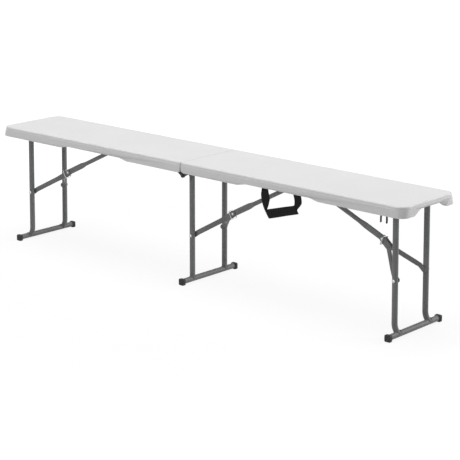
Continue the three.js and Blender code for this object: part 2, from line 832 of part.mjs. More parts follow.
function addBrace(frame) {
  const { label } = frame;
  addNode(`${label}_brace_upper`, upperBrace(frame), paintedSteel);
  addNode(`${label}_knee_rivet`, kneeRivet(frame), zinc);
  addNode(`${label}_lock_ring`, lockRing(frame), zinc);
  for (const { label: side, sign } of sides) {
    addNode(`${label}_brace_arm_${side}`, braceArm(frame, sign), paintedSteel);
  }
}

// A bent strip in X and Z, given its middle line and its thickness
function stripOutline(line, thickness) {
  const left = [];
  const right = [];
  line.forEach((point, i) => {
    const before = line[Math.max(i - 1, 0)];
    const after = line[Math.min(i + 1, line.length - 1)];
    const ahead = after.clone().sub(before).normalize();
    const normal = new THREE.Vector2(-ahead.y, ahead.x);
    left.push(point.clone().addScaledVector(normal, thickness / 2));
    right.push(point.clone().addScaledVector(normal, -thickness / 2));
  });
  return new THREE.Shape([...left, ...right.reverse()]);
}

function springClip() {
  const x = -leftLegX;
  const grip = 2 * hingeHeight - endPivotHeight;
  const top = panelUnderside - seatedGap - clipThickness / 2;
  const half = [
    [clipGrip + clipLipFlare, grip - clipLipDrop],
    [clipGrip, grip - clipLipDrop / 3],
    [clipGrip + clipLipFlare / 2, grip + clipLipDrop],
    [clipGrip, grip + 2 * tubeRadius],
    [clipGrip, top - clipShoulder],
    [clipShoulder, top],
  ];
  const line = [
    ...half.map(([across, z]) => new THREE.Vector2(x - across, z)),
    ...half.reverse().map(([across, z]) => new THREE.Vector2(x + across, z)),
  ];
  return slabAcross(stripOutline(line, clipThickness), clipY - clipWidth / 2, clipY + clipWidth / 2);
}

const strapY = strapInset - halfWidth;
const anchorTop = railTop - railHeight - seatedGap;
const strapTop = anchorTop - anchorThickness - strapHangGap;

// The strap hangs as a flat ribbon, folded over at its two lower corners. Each corner is a share of
// the strap's width, across from its left or right edge and up from its lower or upper end.
function carryStrap() {
  const right = strapFrom + strapSpan;
  const low = strapTop - strapLeftDrop;
  const lowRight = strapTop - strapRightDrop;
  const swellShare = 0.13;
  const tuckShare = 0.39;
  const bendShare = 0.7;
  const riseShare = 1.6;
  const foldShare = 0.75;
  const quarterShare = 0.25;
  const lapShare = 0.55;
  const lapRiseShare = 1.1;
  const innerBendShare = 1.2;
  const place = (x, acrossShare, z, upShare) => [x + strapWidth * acrossShare, z + strapWidth * upShare];
  const fromLeft = (...shares) => place(strapFrom, ...shares);
  const fromRight = (...shares) => place(right, ...shares);
  const shape = new THREE.Shape();
  shape.moveTo(strapFrom, strapTop);
  const outerBend = [fromLeft(-swellShare, strapTop, -1), fromLeft(swellShare, low, riseShare)];
  shape.quadraticCurveTo(...outerBend.flat());
  const outerTuck = [fromLeft(tuckShare, low, bendShare), fromLeft(1, low, 0)];
  shape.quadraticCurveTo(...outerTuck.flat());
  shape.lineTo(...fromRight(-quarterShare, lowRight, 0));
  shape.lineTo(...fromRight(-lapShare, lowRight, swellShare));
  shape.lineTo(...fromRight(swellShare, lowRight, lapRiseShare));
  shape.lineTo(right, strapTop);
  shape.lineTo(right - strapWidth, strapTop);
  shape.lineTo(...fromRight(-1, lowRight, foldShare));
  shape.lineTo(...fromLeft(foldShare, low, 1));
  const innerBend = [fromLeft(innerBendShare, strapTop, -1), fromLeft(1, strapTop, 0)];
  shape.quadraticCurveTo(...innerBend.flat());
  const from = strapY - strapThickness / 2;
  return slabAcross(shape, from, from + strapThickness);
}

function strapAnchor(middle) {
  return block(
    middle - anchorLength / 2,
    middle + anchorLength / 2,
    -rightRailOutside,
    railWidth - rightRailOutside,
    anchorTop - anchorThickness,
    anchorTop,
  );
}

const leftFrame = legFrame({
  label: 'left',
  brace: 1,
  pivotX: leftLegX,
  pivotZ: endPivotHeight,
  leanAngle: lean,
  footOffset: endFootOffset,
  drop: endBraceDrop,
  rodX: leftBraceRodX,
  slack: leftKneeSlack,
  ringOffset: leftRingOffset,
});
const middleFrame = legFrame({
  label: 'middle',
  brace: 1,
  pivotX: 0,
  pivotZ: hingeHeight,
  leanAngle: 0,
  footOffset: 0,
  drop: middleBraceDrop,
  rodX: middleBraceRodX,
  slack: middleKneeSlack,
  ringOffset: middleRingOffset,
});
const rightFrame = legFrame({
  label: 'right',
  brace: -1,
  pivotX: rightLegX,
  pivotZ: endPivotHeight,
  leanAngle: lean,
  footOffset: endFootOffset,
  drop: endBraceDrop,
  rodX: rightBraceRodX,
  slack: rightKneeSlack,
  ringOffset: rightRingOffset,
});

addNode('left_seat', seatHalf(-1, leftFoldRounding), plastic);
addNode('right_seat', seatHalf(1, rightFoldRounding), plastic);
underframe('left', -1, leftRailOutside, leftPlateOutside, leftLegX, [leftFrame.braceRod.x]);
underframe('right', 1, rightRailOutside, rightPlateOutside, rightLegX, [
  middleFrame.braceRod.x,
  rightFrame.braceRod.x,
]);
addNode('hinge_rod', headedRod(0, hingeHeight, rightPlateOutside + seatedGap), darkSteel);

// Plain rods between the rails carry the end leg frames and the braces
const crossRods = [
  ['left_leg_pivot_rod', leftLegX, endPivotHeight, leftRailOutside],
  ['right_leg_pivot_rod', rightLegX, endPivotHeight, rightRailOutside],
  ['left_brace_rod', leftFrame.braceRod.x, braceRodHeight, leftRailOutside],
  ['middle_brace_rod', middleFrame.braceRod.x, braceRodHeight, rightRailOutside],
  ['right_brace_rod', rightFrame.braceRod.x, braceRodHeight, rightRailOutside],
];
for (const [name, x, z, reach] of crossRods) {
  addNode(name, barAcross(rodRadius, x, z, -reach, reach), zinc);
}

for (const frame of [leftFrame, rightFrame]) {
  addLegFrame(frame, endCrossTubeReach);
  addBrace(frame);
}
addLegFrame(middleFrame, middleCrossTubeReach);
addBrace(middleFrame);

addNode('tube_clip', springClip(), darkSteel);
addNode('carry_strap', carryStrap(), webbing);
addNode('strap_anchor_inner', strapAnchor(strapFrom + strapWidth / 2), darkSteel);
addNode('strap_anchor_outer', strapAnchor(strapFrom + strapSpan - strapWidth / 2), darkSteel);

export default bench;
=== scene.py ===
import json
import math

import bpy
from mathutils import Matrix, Vector


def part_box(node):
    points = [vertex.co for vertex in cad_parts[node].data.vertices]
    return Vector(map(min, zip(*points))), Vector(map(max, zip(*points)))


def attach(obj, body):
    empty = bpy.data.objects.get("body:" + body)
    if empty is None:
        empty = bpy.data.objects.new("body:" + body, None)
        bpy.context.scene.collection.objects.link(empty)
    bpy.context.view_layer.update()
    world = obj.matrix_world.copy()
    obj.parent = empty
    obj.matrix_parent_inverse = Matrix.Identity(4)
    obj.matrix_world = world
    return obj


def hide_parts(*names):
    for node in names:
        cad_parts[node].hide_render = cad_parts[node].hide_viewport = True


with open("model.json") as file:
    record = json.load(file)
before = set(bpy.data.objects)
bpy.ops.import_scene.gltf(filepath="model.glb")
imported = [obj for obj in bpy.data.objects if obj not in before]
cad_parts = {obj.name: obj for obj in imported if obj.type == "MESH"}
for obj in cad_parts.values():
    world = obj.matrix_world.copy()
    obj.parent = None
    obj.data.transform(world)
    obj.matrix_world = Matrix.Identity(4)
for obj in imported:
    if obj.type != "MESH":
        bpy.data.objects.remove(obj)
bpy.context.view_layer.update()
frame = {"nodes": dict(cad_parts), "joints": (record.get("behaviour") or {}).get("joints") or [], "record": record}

# Lengths are in millimetres, except where a comment says metres
MM = 0.001
LABELS = ("left", "middle", "right")
SIDES = {"near": -1, "far": 1}
ACROSS = Vector((0, 1, 0))
UPWARD = Vector((0, 0, 1))
joints = {joint["name"]: joint for joint in frame["joints"]}

# Sizes that the modelled pieces share with the solids
TUBE_RADIUS = 9.5
UPRIGHT_PLACE = 82
BRACE_TUBE = 15
PRESSED_TALL = 21
PRESSED_THICK = 8
ARM_THICK = 3.5
RIVET_GAP = 0.3
RAIL_UNDERSIDE = 402.2


# Camera

def add_camera():
    """The photograph's camera, fitted to the edges of the seat and legs; its place is in metres."""
    place = (3.51452, -3.82366, 1.58318)
    yaw, pitch, roll = 0.7291265, 0.2659160, 0.0030525
    focal_px, photo_px, sensor = 1561.26, 460, 36.0
    flat, drop = math.cos(pitch), -math.sin(pitch)
    forward = Vector((-math.sin(yaw) * flat, math.cos(yaw) * flat, drop))
    level = Vector((math.cos(yaw), math.sin(yaw), 0))
    upward = level.cross(forward)
    right = math.cos(roll) * level + math.sin(roll) * upward
    up = -math.sin(roll) * level + math.cos(roll) * upward
    data = bpy.data.cameras.new("camera")
    data.sensor_width = sensor
    data.lens = focal_px * sensor / photo_px
    data.clip_end = 100
    camera = bpy.data.objects.new("camera", data)
    turn = Matrix((right, up, -forward)).transposed().to_4x4()
    camera.matrix_world = Matrix.Translation(place) @ turn
    bpy.context.scene.collection.objects.link(camera)
    bpy.context.scene.camera = camera


add_camera()
bpy.context.scene.view_settings.view_transform = "Standard"


# Node helpers

def new_material(name):
    """A new material, its empty node tree and the place on the object in metres."""
    material = bpy.data.materials.new(name)
    material.use_nodes = True
    tree = material.node_tree
    tree.nodes.clear()
    return material, tree, node(tree, "ShaderNodeTexCoord").outputs["Object"]


def node(tree, kind, values=(), **settings):
    """A shader node with settings; values are (socket, value or output socket)."""
    made = tree.nodes.new(kind)
    for key, value in settings.items():
        setattr(made, key, value)
    for socket, value in values:
        if isinstance(value, bpy.types.NodeSocket):
            tree.links.new(value, made.inputs[socket])
        else:
            made.inputs[socket].default_value = value
    return made


def noise(tree, place, scale, detail, roughness=0.55):
    """A cloudy value between 0 and 1."""
    values = ("Vector", place), ("Scale", scale), ("Detail", detail), ("Roughness", roughness)
    return node(tree, "ShaderNodeTexNoise", values).outputs["Fac"]


def stripes(tree, place, scale, distortion, direction):
    """Soft stripes between 0 and 1 that follow each other in a direction."""
    values = (("Vector", place), ("Scale", scale), ("Distortion", distortion), ("Detail", 2.0),
              ("Detail Scale", 3.0))
    return node(tree, "ShaderNodeTexWave", values, bands_direction=direction).outputs["Fac"]


def spread(tree, value, low, high, start=0.3, end=0.7):
    """Maps start to low and end to high, by default for a noise, which seldom leaves 0.3 to 0.7."""
    values = (("Value", value), ("From Min", start), ("From Max", end), ("To Min", low),
              ("To Max", high))
    return node(tree, "ShaderNodeMapRange", values).outputs["Result"]


def math_node(tree, operation, first, second, clamp=False):
    made = node(tree, "ShaderNodeMath", ((0, first), (1, second)), operation=operation, use_clamp=clamp)
    return made.outputs[0]


def two_tone(tree, value, dark, light):
    """A colour from dark to light; sockets 6, 7 and 2 of a Mix node are the ones for colours."""
    values = ("Factor", value), (6, (*dark, 1)), (7, (*light, 1))
    return node(tree, "ShaderNodeMix", values, data_type="RGBA").outputs[2]


def bump(tree, height, strength, distance, below=None):
    """A bump whose distance is in metres, on top of the one below."""
    values = [("Height", height), ("Strength", strength), ("Distance", distance)]
    if below is not None:
        values.append(("Normal", below))
    return node(tree, "ShaderNodeBump", values).outputs["Normal"]


def set_surface(tree, color, roughness, normal, **constants):
    """The material's shader; each constant is named as its socket, with _ for a space."""
    values = [("Base Color", color), ("Roughness", roughness), ("Normal", normal)]
    values += [(socket.replace("_", " "), value) for socket, value in constants.items()]
    shader = node(tree, "ShaderNodeBsdfPrincipled", values)
    node(tree, "ShaderNodeOutputMaterial", ((0, shader.outputs[0]),))


def mixed(tree, share, first, second):
    """A mix of two shader nodes, and all of the second where the share is 1."""
    values = ("Fac", share), (1, first.outputs[0]), (2, second.outputs[0])
    return node(tree, "ShaderNodeMixShader", values).outputs[0]


# Materials

def plastic_material():
    """Blow-moulded polyethylene: a fine pebbled grain over faint sink waves."""
    material, tree, place = new_material("moulded_plastic")
    cloud = noise(tree, place, scale=7.0, detail=3.0)
    fine = noise(tree, place, scale=900.0, detail=2.0)
    pebble = node(tree, "ShaderNodeTexVoronoi", (("Vector", place), ("Scale", 520.0)),
                  feature="SMOOTH_F1").outputs["Distance"]
    waves = noise(tree, place, scale=9.0, detail=1.0)
    color = two_tone(tree, spread(tree, cloud, 0, 1), dark=(0.775, 0.777, 0.775),
                     light=(0.80, 0.80, 0.797))
    normal = bump(tree, waves, strength=0.12, distance=0.004)
    normal = bump(tree, pebble, strength=0.22, distance=0.0004, below=normal)
    normal = bump(tree, fine, strength=0.08, distance=0.0002, below=normal)
    set_surface(tree, color, spread(tree, fine, 0.44, 0.58), normal, IOR=1.5)
    return material


def paint_material(name, dark, light, rough):
    """Powder coat on steel: fine orange peel, faint mottling and duller scuffs."""
    material, tree, place = new_material(name)
    cloud = noise(tree, place, scale=24.0, detail=5.0)
    peel = noise(tree, place, scale=1400.0, detail=2.0)
    scuff = noise(tree, place, scale=160.0, detail=6.0, roughness=0.7)
    color = two_tone(tree, spread(tree, cloud, 0, 1), dark, light)
    normal = bump(tree, peel, strength=0.18, distance=0.0003)
    roughness = spread(tree, scuff, rough - 0.06, rough + 0.08)
    set_surface(tree, color, roughness, normal, Specular_IOR_Level=0.28)
    return material


def zinc_material():
    """Bright zinc plating with a little streaky clouding."""
    material, tree, place = new_material("zinc_plating")
    drawn_out = ("Vector", place), ("Scale", (60.0, 500.0, 60.0))
    grain = noise(tree, node(tree, "ShaderNodeMapping", drawn_out).outputs[0], scale=4.0, detail=4.0)
    cloud = noise(tree, place, scale=90.0, detail=3.0)
    color = two_tone(tree, spread(tree, cloud, 0, 1), dark=(0.40, 0.41, 0.43), light=(0.60, 0.61, 0.62))
    normal = bump(tree, grain, strength=0.1, distance=0.0002)
    set_surface(tree, color, spread(tree, grain, 0.28, 0.46), normal, Metallic=1.0)
    return material


def rubber_material():
    """Moulded black foot caps, matt with a fine skin."""
    material, tree, place = new_material("black_rubber")
    skin = noise(tree, place, scale=1100.0, detail=3.0)
    cloud = noise(tree, place, scale=40.0, detail=4.0)
    color = two_tone(tree, spread(tree, cloud, 0, 1), dark=(0.025, 0.025, 0.026),
                     light=(0.045, 0.045, 0.046))
    normal = bump(tree, skin, strength=0.25, distance=0.0003)
    set_surface(tree, color, spread(tree, cloud, 0.5, 0.72), normal, Specular_IOR_Level=0.35)
    return material


def webbing_material():
    """Flat woven webbing: ribs across the band, finer threads along it, and fuzz on both."""
    material, tree, place = new_material("webbing")
    band = node(tree, "ShaderNodeUVMap", uv_map="weave").outputs[0]
    ribs = stripes(tree, band, scale=190.0, distortion=0.6, direction="X")
    threads = stripes(tree, band, scale=260.0, distortion=0.4, direction="Y")
    weave = math_node(tree, "MULTIPLY", ribs, threads)
    fuzz = noise(tree, place, scale=2200.0, detail=3.0)
    color = two_tone(tree, weave, dark=(0.005, 0.005, 0.0055), light=(0.017, 0.017, 0.018))
    normal = bump(tree, weave, strength=0.9, distance=0.0006)
    normal = bump(tree, fuzz, strength=0.3, distance=0.0002, below=normal)
    set_surface(tree, color, spread(tree, fuzz, 0.75, 0.95), normal, Specular_IOR_Level=0.25)
    return material


def thread_material():
    """Black sewing thread, a little paler than the webbing."""
    material, tree, place = new_material("stitching")
    twist = noise(tree, place, scale=3000.0, detail=2.0)
    color = two_tone(tree, twist, dark=(0.02, 0.02, 0.022), light=(0.055, 0.055, 0.058))
    normal = bump(tree, twist, strength=0.4, distance=0.0002)
    set_surface(tree, color, spread(tree, twist, 0.6, 0.8), normal, IOR=1.45)
    return material


materials = {
    "white_plastic": plastic_material(),
    "grey_paint": paint_material("grey_powder_coat", dark=(0.197, 0.199, 0.201),
                                 light=(0.238, 0.240, 0.242), rough=0.46),
    "dark_steel": paint_material("dark_powder_coat", dark=(0.034, 0.035, 0.037),
                                 light=(0.052, 0.053, 0.055), rough=0.45),
    "zinc_steel": zinc_material(),
    "black_rubber": rubber_material(),
    "black_webbing": webbing_material(),
}
stitching = thread_material()


# Carried-over nodes

EDGE_SOFTENING = {
    "white_plastic": 0.0, "grey_paint": 0.5, "dark_steel": 0.4, "zinc_steel": 0.3, "black_rubber": 0.4,
    "black_webbing": 0.0,
}


def dress(name, slot):
    """Gives a carried-over node its material, softened edges and even shading."""
    piece = frame["nodes"][name]
    piece.data.materials.clear()
    piece.data.materials.append(materials[slot])
    attribute = piece.data.attributes.get("custom_normal")
    if attribute is not None:
        piece.data.attributes.remove(attribute)
    piece.data.shade_smooth()
    weld = piece.modifiers.new("weld", "WELD")
    weld.merge_threshold = 0.02 * MM
    if EDGE_SOFTENING[slot] > 0:
        soften = piece.modifiers.new("soften", "BEVEL")
        soften.width = EDGE_SOFTENING[slot] * MM
        soften.segments = 2
        soften.angle_limit = math.radians(40)
    even = piece.modifiers.new("even", "WEIGHTED_NORMAL")
    even.weight = 80
    even.keep_sharp = True


for row in frame["record"]["subparts"]:
    dress(row["node"], row["material_slot"])


# Forms

def facing_out(points, faces):
    """The faces of a closed form, all turned over if they face inward."""
    base = Vector(points[0])
    offsets = [Vector(point) - base for point in points]
    volume = 0.0
    for face in faces:
        for second, third in zip(face[1:], face[2:]):
            volume += offsets[face[0]].dot(offsets[second].cross(offsets[third]))
    return faces if volume > 0 else [tuple(reversed(face)) for face in faces]


def add_piece(name, form, slot, body, replaced=(), sharp=35, material=None):
    """A smooth piece on a body, from a form in millimetres; edges above sharp degrees stay sharp."""
    points, faces = form
    mesh = bpy.data.meshes.new(name)
    mesh.from_pydata([Vector(point) * MM for point in points], [], facing_out(points, faces))
    mesh.update()
    mesh.shade_smooth()
    mesh.set_sharp_from_angle(angle=math.radians(sharp))
    mesh.materials.append(material or materials[slot])
    piece = bpy.data.objects.new(name, mesh)
    bpy.context.scene.collection.objects.link(piece)
    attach(piece, body)
    if replaced:
        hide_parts(*replaced)
    return piece


def loft(rings, closed=False):
    """A form through rings of points: a closed loop, or a bar with a face at each end."""
    count, sides = len(rings), len(rings[0])
    faces = []
    for ring in range(count if closed else count - 1):
        here, there = ring * sides, ((ring + 1) % count) * sides
        for side in range(sides):
            other = (side + 1) % sides
            faces.append((here + side, here + other, there + other, there + side))
    if not closed:
        faces.append(tuple(reversed(range(sides))))
        faces.append(tuple(range((count - 1) * sides, count * sides)))
    return [point for ring in rings for point in ring], faces


def joined(forms):
    """Several closed forms as one."""
    points, faces = [], []
    for more_points, more_faces in forms:
        start = len(points)
        points += more_points
        faces += [tuple(start + i for i in face) for face in facing_out(more_points, more_faces)]
    return points, faces


def section(at, ahead, across, tall, thick, sides):
    """One ring of a bar: round, or pressed flat where it is taller than thick."""
    up = ahead.cross(across).normalized()
    round_part, flat_part = min(tall, thick) / 2, max(tall - thick, 0) / 2
    ring = []
    for side in range(sides):
        angle = (side + 0.5) * 2 * math.pi / sides
        lift = round_part * math.sin(angle) + math.copysign(flat_part, math.sin(angle))
        ring.append(at + across * (math.cos(angle) * thick / 2) + up * lift)
    return ring


def end_curve(tall):
    """The rounded end of a flat bar as (how far out, how tall) up to a tip that is a little blunt."""
    steps, whole = 8, 8.3
    angles = [math.pi / 2 * step / whole for step in range(1, steps + 1)]
    return [(tall / 2 * math.sin(angle), tall * math.cos(angle)) for angle in angles]


def turned(outline, centre, axis, sides):
    """A form turned round an axis; the outline is a list of (radius, distance along the axis)."""
    smallest_radius = 0.1
    first = axis.orthogonal().normalized()
    second = axis.cross(first)
    rings = []
    for radius, distance in outline:
        ring = []
        for side in range(sides):
            angle = 2 * math.pi * side / sides
            spoke = first * math.cos(angle) + second * math.sin(angle)
            ring.append(centre + axis * distance + spoke * max(radius, smallest_radius))
        rings.append(ring)
    return loft(rings)


def rounded_outline(half_wide, half_tall, corner, steps):
    """Points round a rectangle with rounded corners, with some steps in each corner."""
    outline = []
    for quarter, (x, z) in enumerate(((1, 1), (-1, 1), (-1, -1), (1, -1))):
        for step in range(steps + 1):
            angle = math.pi / 2 * (quarter + step / steps)
            outline.append((x * (half_wide - corner) + corner * math.cos(angle),
                            z * (half_tall - corner) + corner * math.sin(angle)))
    return outline


def directions(places):
    """The direction in which a closed path passes each of its places."""
    following = places[1:] + places[:1]
    return [(after - places[i - 1]).normalized() for i, after in enumerate(following)]


def ease(value):
    """0 below 0, 1 above 1 and a soft rise between them."""
    value = max(0.0, min(1.0, value))
    return value * value * (3 - 2 * value)


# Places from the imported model

def centre_of(name):
    """The middle of a node's box."""
    low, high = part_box(name)
    return (low + high) / 2 / MM


def joint_place(name):
    """The point that a joint turns about."""
    return Vector(joints[name]["pos_m"]) / MM


class Linkage:
    """The pivots of one leg frame and its brace, and the middle of its foot tube."""

    def __init__(self, label):
        self.label = label
        self.toward = -1 if label == "right" else 1
        self.brace_rod = joint_place(f"{label}_brace_swing")
        self.knee = joint_place(f"{label}_knee")
        self.pivot = joint_place(f"{label}_leg_fold")
        rivet = centre_of(f"{label}_leg_rivet_near")
        self.arm_pivot = Vector((rivet.x, 0, rivet.z))
        foot = centre_of(f"{label}_foot_tube")
        self.foot = Vector((foot.x, 0, foot.z))


# Knee braces

PRESSED_LENGTH = 74
TAPER = 32
SLEEVE_OUTLINE = ((6.9, -13), (8, -12), (8, 12), (6.9, 13))


def build_upper_brace(linkage):
    """A round tube on a sleeve, pressed flat and tall toward the knee."""
    steps = 8
    start, end = linkage.brace_rod, linkage.knee
    length = (end - start).length
    ahead = (end - start).normalized()
    taper_from = length - PRESSED_LENGTH - TAPER
    stops = [0] + [taper_from + TAPER * step / steps for step in range(steps + 1)] + [length]
    stations = []
    for distance in stops:
        share = ease((distance - taper_from) / TAPER)
        stations.append((distance, BRACE_TUBE + (PRESSED_TALL - BRACE_TUBE) * share,
                         BRACE_TUBE - (BRACE_TUBE - PRESSED_THICK) * share))
    stations += [(length + out, tall, PRESSED_THICK) for out, tall in end_curve(PRESSED_TALL)]
    tube = loft([section(start + ahead * distance, ahead, ACROSS, tall, thick, sides=32)
                 for distance, tall, thick in stations])
    sleeve = turned(SLEEVE_OUTLINE, start, ACROSS, sides=40)
    add_piece(f"{linkage.label}_brace_tube", joined([tube, sleeve]), "grey_paint",
              f"{linkage.label}_upper_brace", (f"{linkage.label}_brace_upper",))


ARM_SLIM = 17.5
ARM_ROUNDED = 8
ARM_SPREAD = 34
ARM_REST = 20
HEAD_OUTLINE = ((6, 0.1), (6, -0.4), (5.4, -1.5), (3.9, -2.4), (1.9, -2.8), (0, -2.85))


def build_arm(linkage, side, sign):
    """A pressed arm with a rivet head: flat at the knee and the leg, rounder where it spreads out."""
    steps, press_share, flat_end = 12, 0.22, 8
    knee, end = linkage.knee, linkage.arm_pivot
    length = (end - knee).length
    ahead = (end - knee).normalized()
    at_knee = PRESSED_THICK / 2 + RIVET_GAP + ARM_THICK / 2
    at_leg = UPRIGHT_PLACE - TUBE_RADIUS - RIVET_GAP - ARM_THICK / 2
    spread_from, spread_to = ARM_SPREAD, length - ARM_REST
    run = spread_to - spread_from
    full_slope = math.atan((at_leg - at_knee) / run)

    stations = [(-out, tall, ARM_THICK) for out, tall in reversed(end_curve(PRESSED_TALL))]
    stations += [(distance, PRESSED_TALL, ARM_THICK) for distance in (0, ARM_REST)]
    for step in range(steps + 1):
        share = step / steps
        slim = ease(share / press_share)
        rounded = slim * ease((1 - share) / press_share)
        stations.append((spread_from + run * share, PRESSED_TALL - (PRESSED_TALL - ARM_SLIM) * slim,
                         ARM_THICK + (ARM_ROUNDED - ARM_THICK) * rounded))
    stations += [(distance, ARM_SLIM, ARM_THICK) for distance in (length - flat_end, length)]
    stations += [(length + out, tall, ARM_THICK) for out, tall in end_curve(ARM_SLIM)]

    rings = []
    for distance, tall, thick in stations:
        share = max(0.0, min(1.0, (distance - spread_from) / run))
        offset = sign * (at_knee + (at_leg - at_knee) * share)
        slope = sign * full_slope if spread_from < distance < spread_to else 0
        direction = ahead * math.cos(slope) + ACROSS * math.sin(slope)
        across = ACROSS * math.cos(slope) - ahead * math.sin(slope)
        rings.append(section(knee + ahead * distance + ACROSS * offset, direction, across, tall, thick,
                             sides=28))
    head = turned(HEAD_OUTLINE, end + ACROSS * sign * (at_leg - ARM_THICK / 2), ACROSS * sign, sides=28)
    add_piece(f"{linkage.label}_arm_{side}", joined([loft(rings), head]), "grey_paint",
              f"{linkage.label}_arms", (f"{linkage.label}_brace_arm_{side}",))


# The ring's opening and its wire, which is a little thinner than the solid's
RING_WIDE = 24.5
RING_TALL = 26
SOLID_WIRE = 3.2
RING_WIRE = 3.1
RING_CORNER = 5.0
LEFT_RING_DROP = 7


def build_ring(linkage):
    """A closed loop of round wire round the brace; the photograph shows the left one further down."""
    label = linkage.label
    along = (linkage.knee - linkage.brace_rod).normalized()
    centre = centre_of(f"{label}_lock_ring") + along * (LEFT_RING_DROP if label == "left" else 0)
    over = Vector((linkage.toward * along.z, 0, -linkage.toward * along.x))
    outline = rounded_outline((RING_WIDE + SOLID_WIRE) / 2, (RING_TALL + SOLID_WIRE) / 2, RING_CORNER,
                              steps=8)
    places = [centre + ACROSS * y + over * z for y, z in outline]
    rings = [section(at, ahead, along, RING_WIRE, RING_WIRE, sides=14)
             for at, ahead in zip(places, directions(places))]
    add_piece(f"{label}_ring_wire", loft(rings, closed=True), "zinc_steel", f"{label}_ring",
              (f"{label}_lock_ring",))


# Foot caps and weld beads

# Each station is half the cap's width, its corner's radius and its place along the foot tube
CAP_STATIONS = (
    (9.7, 9.6, 128.3), (10.8, 4.6, 128.0), (11.2, 4.2, 128.4), (11.3, 4.2, 129.2), (11.2, 4.1, 130.0),
    (10.95, 4.0, 130.4), (10.95, 4.0, 131.2), (11.3, 4.2, 131.7), (11.45, 4.2, 136.6),
    (11.35, 4.2, 138.3), (10.9, 4.0, 139.3), (10.2, 3.7, 139.8), (9.2, 3.3, 140.0),
    (6.6, 2.6, 140.0), (6.2, 2.4, 139.5), (0.4, 0.15, 139.5),
)


def build_cap(linkage, side, sign):
    """A square cap over the foot tube, hung a little low: a rolled mouth, a waist, a rounded end."""
    above_floor, lowered = 0.05, 1.0
    rings = []
    for half, corner, place in CAP_STATIONS:
        low = min(linkage.foot.z - half - above_floor, lowered)
        rings.append([linkage.foot + Vector((x, sign * place, z - low))
                      for x, z in rounded_outline(half, half, corner, steps=6)])
    add_piece(f"{linkage.label}_cap_{side}", loft(rings), "black_rubber", f"{linkage.label}_leg",
              (f"{linkage.label}_foot_cap_{side}",))


def build_bead(name, body, centre, rise):
    """A rippled weld bead round the saddle where an upright rises from the middle of a lying tube."""
    lying, count = 9.6, 64
    clear_out, clear_up, flattest = 0.4, 0.5, 0.97
    thickness, ripple, ripple_steps = 2.7, 0.44, 3
    rise = rise.normalized()
    sideways = rise.cross(ACROSS).normalized()
    places = []
    for step in range(count):
        angle = 2 * math.pi * step / count
        along = (TUBE_RADIUS + clear_out) * math.cos(angle)
        aside = (TUBE_RADIUS + clear_out) * math.sin(angle)
        height = math.sqrt(lying ** 2 - min(abs(aside), lying * flattest) ** 2)
        places.append(centre + ACROSS * along + sideways * aside + rise * (height + clear_up))
    rings = []
    for step, (at, ahead) in enumerate(zip(places, directions(places))):
        across = ahead.cross((at - centre).normalized()).normalized()
        wide = thickness + ripple * math.sin(2 * math.pi * step / ripple_steps)
        rings.append(section(at, ahead, across, wide, wide, sides=8))
    add_piece(name, loft(rings, closed=True), "grey_paint", body)


def build_beads(linkage, side, sign):
    """The beads at both ends of an upright, which bends to stand straight up on an outer foot tube."""
    straight = linkage.label == "middle"
    ends = {
        "foot": (linkage.foot, linkage.arm_pivot - linkage.foot if straight else UPWARD),
        "top": (linkage.pivot, linkage.arm_pivot - linkage.pivot),
    }
    for end, (centre, rise) in ends.items():
        build_bead(f"{linkage.label}_{end}_bead_{side}", f"{linkage.label}_leg",
                   centre + ACROSS * sign * UPRIGHT_PLACE, rise)


for linkage in map(Linkage, LABELS):
    build_upper_brace(linkage)
    build_ring(linkage)
    for side, sign in SIDES.items():
        build_arm(linkage, side, sign)
        build_cap(linkage, side, sign)
        build_beads(linkage, side, sign)


# Carry strap

# The strap thins out over STRAP_EDGE on both sides; stitches higher than STITCHES_BELOW would run into
# its anchors when it swings out
STRAP_THICK = 1.5
STRAP_WIDE = 29
STRAP_EDGE = 1.6
STRAP_PLACE = joint_place("strap_swing").y
STITCHES_BELOW = 388
STITCH_LENGTH = 2.3
STITCH_EVERY = 3.4
STITCH_LINES = (0.1, 0.9)

# Each stop is a share of a stitch's length and its thickness there
STITCH_STOPS = ((0, 0.15), (0.125, 0.5), (0.375, 0.6), (0.625, 0.6), (0.875, 0.5), (1, 0.15))

# Each row is the strap's outer edge (x, z), its inner edge (x, z), and how far each of them stands
# toward the viewer
STRAP_ROWS = (
    (350.0, 399.0, 377.0, 399.0, 0.0, 0.0), (348.6, 390.0, 378.6, 388.0, 0.3, 0.0),
    (347.2, 379.0, 382.0, 376.0, 0.7, -0.2), (348.6, 366.0, 383.6, 367.0, 0.8, -0.4),
    (352.2, 351.0, 381.4, 356.5, 0.3, 0.2), (358.4, 333.5, 378.2, 343.0, -0.5, 0.7),
    (369.0, 317.5, 374.6, 335.5, -0.4, 0.9), (379.6, 304.4, 372.4, 331.6, 0.6, 0.9),
    (385.0, 303.4, 377.0, 332.9, 0.9, 0.5), (417.0, 312.6, 408.6, 341.9, 0.7, 0.2),
    (452.0, 323.4, 441.0, 351.2, 0.4, 0.5), (478.0, 331.0, 466.0, 358.0, 0.6, 0.6),
    (496.0, 336.2, 480.0, 361.8, 0.9, 0.6), (504.0, 339.6, 484.6, 364.4, 0.9, 0.3),
    (497.5, 343.6, 485.2, 368.0, -0.9, -0.3), (497.6, 352.0, 485.6, 372.6, -0.9, -0.2),
    (508.0, 364.0, 485.6, 378.0, -0.3, 0.0), (515.0, 374.5, 484.8, 383.4, 0.2, 0.0),
    (515.2, 384.0, 482.8, 390.8, 0.3, 0.0), (512.0, 399.0, 480.2, 399.0, 0.0, 0.0),
)


def on_curve(before, first, second, after, t):
    """A number on the Catmull-Rom curve from first to second, at the share t of the way."""
    straight = second - before
    bend = 2 * before - 5 * first + 4 * second - after
    twist = 3 * first - before - 3 * second + after
    return 0.5 * (2 * first + straight * t + bend * t * t + twist * t ** 3)


